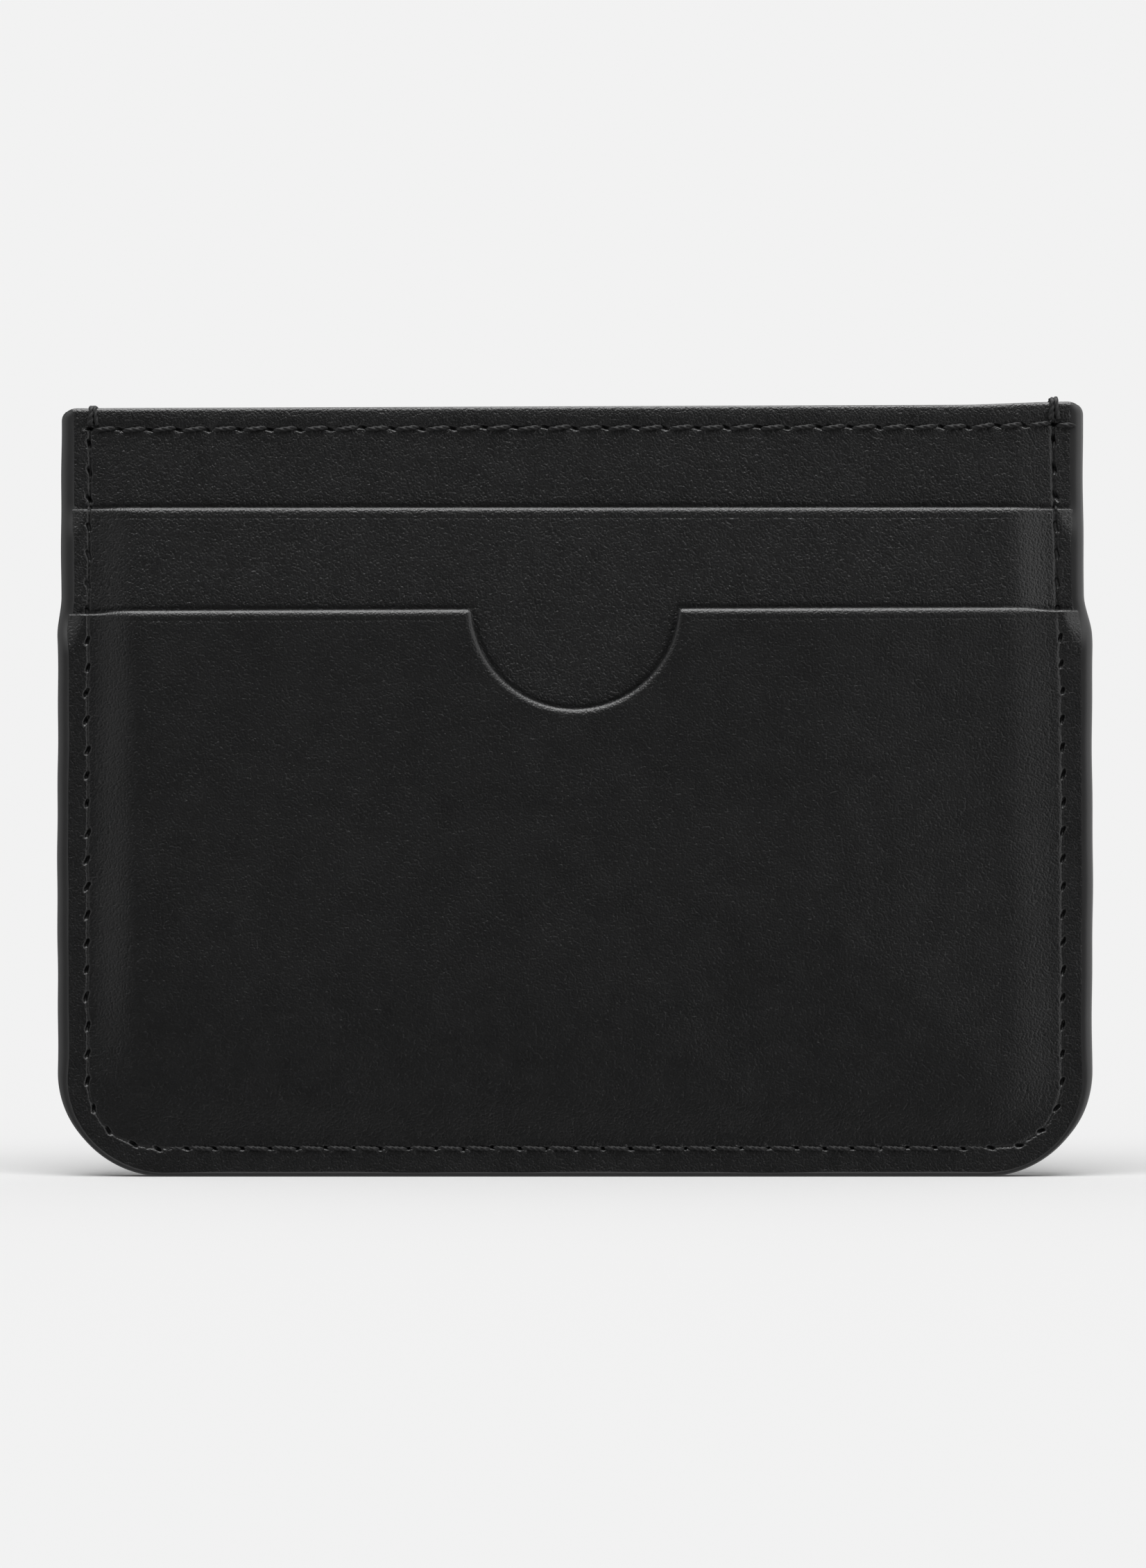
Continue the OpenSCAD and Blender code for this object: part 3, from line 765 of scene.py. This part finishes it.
for half_name, side in (("front", 1), ("rear", -1)):
    top_row(f"{half_name}_top_row", side, f"{half_name}_top_seam")
    perimeter_row(f"{half_name}_perimeter_row", side, f"perimeter_seam_{half_name}_thread")
for node in ("upper_pocket_strip_seam", "upper_pocket_floor_seam"):
    for half_name in ("front", "rear"):
        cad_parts[f"{half_name}_{node}"].data.materials.clear()
        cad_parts[f"{half_name}_{node}"].data.materials.append(THREAD)


def tack(name, x, rise, node):
    """Turns of thread over the top edge: each path is half a superellipse in the plane across
    the edge, so it hugs both faces; the turns start apart at their holes and meet on top."""
    phi = np.pi * smooth(-0.02, 1.02, np.linspace(0, 1, 60))
    apart = np.array([[-0.85], [0.85], [0.1]])
    power = 2 / 5
    over = np.sin(phi) ** power
    depth = (PANEL_MARGIN_D + 0.16) * np.sign(np.cos(phi)) * np.abs(np.cos(phi)) ** power + 0 * apart
    start = TOP_SEAM_Z + 0.1
    z = start + (BODY_H - start + rise * np.array([[0.8], [1], [0.6]])) * over
    xx = x + apart * (0.66 - 0.42 * over) + 0.1 * np.cos(phi) * np.array([[1], [-1], [-2]])
    piece = strands(name, np.stack([xx, z, depth], -1), TACK_THREAD, 1, [1, 0, 0])
    return dress(piece, THREAD, "thread", node)


tack("left_tack", -SEAM_HW + 0.35, 0.02, "left_over_edge_tack")
tack("right_tack", SEAM_HW - 0.1, 0.3, "right_over_edge_tack")

# ---------------------------------------------------------------------------
# Linings.  Black twill glued behind each layer; only its top edge shows inside
# the mouths.
# ---------------------------------------------------------------------------
def twill():
    """Fine twill: diagonal ribs from a wave across x, depth and height, and uneven yarns."""
    made, place, link = material("black_twill", Roughness=0.85)
    ribs = place.node("ShaderNodeTexWave", {"bands_direction": "DIAGONAL"}, {
        "Vector": place, "Scale": 1.1, "Distortion": 0.3})
    yarn = place.noise(9.0, 2.0)
    bump = place.node("ShaderNodeBump", {}, {
        "Strength": 0.7, "Distance": 0.03 * MM, "Height": ribs * 0.7 + yarn * 0.3})
    tone = (ribs * 0.6 + yarn * 0.4).between((0.006, 0.006, 0.0062), (0.018, 0.018, 0.0185))
    link(Base_Color=tone, Normal=bump)
    return made


TWILL = twill()
LINING_IN = 1.4                                 # the cloth stops short of the painted edge
LINING_LOW = 1.6
CLOTH = 0.08                                    # its thickness


def lining(half_name, side, layer, margin_level, slack):
    """A flat sheet with slow ripples, as long and wide as its CAD layer.  Its lower corners
    follow the body's arc, and its margins are drawn in by the seam."""
    node, outermost = f"{layer}_lining", layer == "lower_pocket"
    low, high = corners(f"front_{node}")
    z = np.linspace(LINING_LOW, high[2], 90)
    arc = np.sqrt(np.maximum(CORNER_R ** 2 - np.clip(CORNER_R - z, 0, None) ** 2, 0))
    half = np.minimum(high[0], FIELD_X + arc) - LINING_IN
    xx = np.linspace(-1, 1, 240) * half[:, None]
    zz = z[:, None] + 0 * xx
    if outermost and side == 1:                     # cut out round the thumb notch
        wide = NOTCH_R + LINING_IN
        cut = LOWER_MOUTH + NOTCH_RISE - np.sqrt(np.clip(wide ** 2 - xx ** 2, 0, None))
        zz = LINING_LOW + (zz - LINING_LOW) * (np.minimum(cut, high[2]) - LINING_LOW) / (
            high[2] - LINING_LOW)
    level = -(low[1] + high[1]) / 2 - slack
    drawn = 1 - (swell(xx, zz) if outermost else smooth(2.4, 8.0, edge_distance(xx, zz)))
    depth = level + 0.015 * np.sin(xx * 0.4) * np.sin(zz * 0.3) + (margin_level - level) * drawn
    piece = make_piece(f"{half_name}_{layer}_twill", [np.stack([xx, zz, depth], -1)],
                       [grid_faces(*xx.shape)], side)
    thick = piece.modifiers.new("cloth", "SOLIDIFY")
    thick.thickness, thick.offset = CLOTH * MM, 0
    dress(piece, TWILL, "woven_lining", f"{half_name}_{node}")


for half_name, side in (("front", 1), ("rear", -1)):
    lining(half_name, side, "panel", 0.3, 0)
    lining(half_name, side, "upper_pocket", 0.95, 0.1)
    lining(half_name, side, "lower_pocket", 1.65, SLACK)

# ---------------------------------------------------------------------------
# Table, light and camera.  A pale table, one wide soft light, and a camera level
# with the middle of the body, straight in front of it.
# ---------------------------------------------------------------------------
PALE = 0.9
TABLE_HALF = 3.0                                # in metres


def table_top():
    """A pale matt sheet under the body.  Gloss sees the painted room instead of it."""
    mesh = bpy.data.meshes.new("table")
    square = TABLE_HALF * np.array([(-1, -1, 0), (1, -1, 0), (1, 1, 0), (-1, 1, 0)])
    mesh.from_pydata(square.tolist(), [], [(0, 1, 2, 3)])
    piece = bpy.data.objects.new("table", mesh)
    bpy.context.scene.collection.objects.link(piece)
    made, _, _ = material("pale_table", Roughness=1.0, Specular_IOR_Level=0.0,
                          Base_Color=(PALE, PALE, PALE, 1))
    piece.data.materials.append(made)
    piece.visible_glossy = False


table_top()

SUN, SUN_WIDE = 2.0, 0.9                        # strength, and width as an angle
SUN_TILT = (0.5, -0.03)                         # towards the camera, towards the left
sun = bpy.data.lights.new("soft_sun", "SUN")
sun.energy, sun.angle = SUN, SUN_WIDE
lamp = bpy.data.objects.new("soft_sun", sun)
lamp.rotation_euler = (*SUN_TILT, 0)
bpy.context.scene.collection.objects.link(lamp)

BACKDROP = 0.887                                # what the camera sees behind the body
ROOM = 0.01                                     # the dark walls, as gloss sees them
CEILING = (0.72, 0.96, 7.0)                     # each starts and ends at this slope, this bright
WINDOW = (0.32, 0.75, 1.5)
WALL = (0.45, 0.9, 0.8)
BELOW = (0.35, 0.8, 0.6)


def studio():
    """The room, by kind of ray.  The camera sees an even backdrop.  Diffuse light is what the
    table needs besides the sun to match that backdrop.  Gloss sees a dark room with a bright
    ceiling, a window on the right, a dimmer wall on the left and the pale table below."""
    world = bpy.data.worlds.new("studio")
    bpy.context.scene.world = world
    world.use_nodes = True
    world.cycles.sampling_method = "NONE"
    tree = world.node_tree
    axis = Wire(tree).node("ShaderNodeTexCoord", {}, {})
    split = tree.nodes.new("ShaderNodeSeparateXYZ")
    tree.links.new(axis.socket, split.inputs[0])
    x, z = Wire(tree, split.outputs[0]), Wire(tree, split.outputs[2])

    def lobe(value, start, end, level):
        """0 below start, this level above end, and an S-curve between them."""
        return value.node("ShaderNodeMapRange", {"interpolation_type": "SMOOTHSTEP"}, {
            "Value": value, "From Min": start, "From Max": end, "To Min": 0.0, "To Max": level})
    room = (lobe(z, *CEILING) + lobe(x, *WINDOW) + lobe(x * -1.0, *WALL) + lobe(z * -1.0, *BELOW)
            + ROOM)
    kind = tree.nodes.new("ShaderNodeLightPath")
    camera_ray, gloss_ray = Wire(tree, kind.outputs[0]), Wire(tree, kind.outputs[3])
    sun_share = SUN * np.cos(SUN_TILT[0]) * np.cos(SUN_TILT[1]) / np.pi
    dome = BACKDROP / PALE - sun_share
    level = gloss_ray * (room - dome) + camera_ray * (BACKDROP - dome) + dome
    backdrop = tree.nodes["Background"]
    backdrop.inputs["Color"].default_value = (1, 1, 1, 1)
    tree.links.new(level.socket, backdrop.inputs["Strength"])


studio()

CAMERA_X, CAMERA_AWAY, CAMERA_Z = -0.2, 862.8, 38.8     # from the middle of the base
LENS, SENSOR = 200, 36                          # a long lens, so the sides stay parallel
camera_data = bpy.data.cameras.new("camera")
camera_data.lens, camera_data.sensor_width = LENS, SENSOR
camera = bpy.data.objects.new("camera", camera_data)
camera.location = (CAMERA_X * MM, -CAMERA_AWAY * MM, CAMERA_Z * MM)
camera.rotation_euler = (np.pi / 2, 0, 0)
bpy.context.scene.collection.objects.link(camera)
bpy.context.scene.camera = camera
bpy.context.scene.view_settings.view_transform = "Standard"
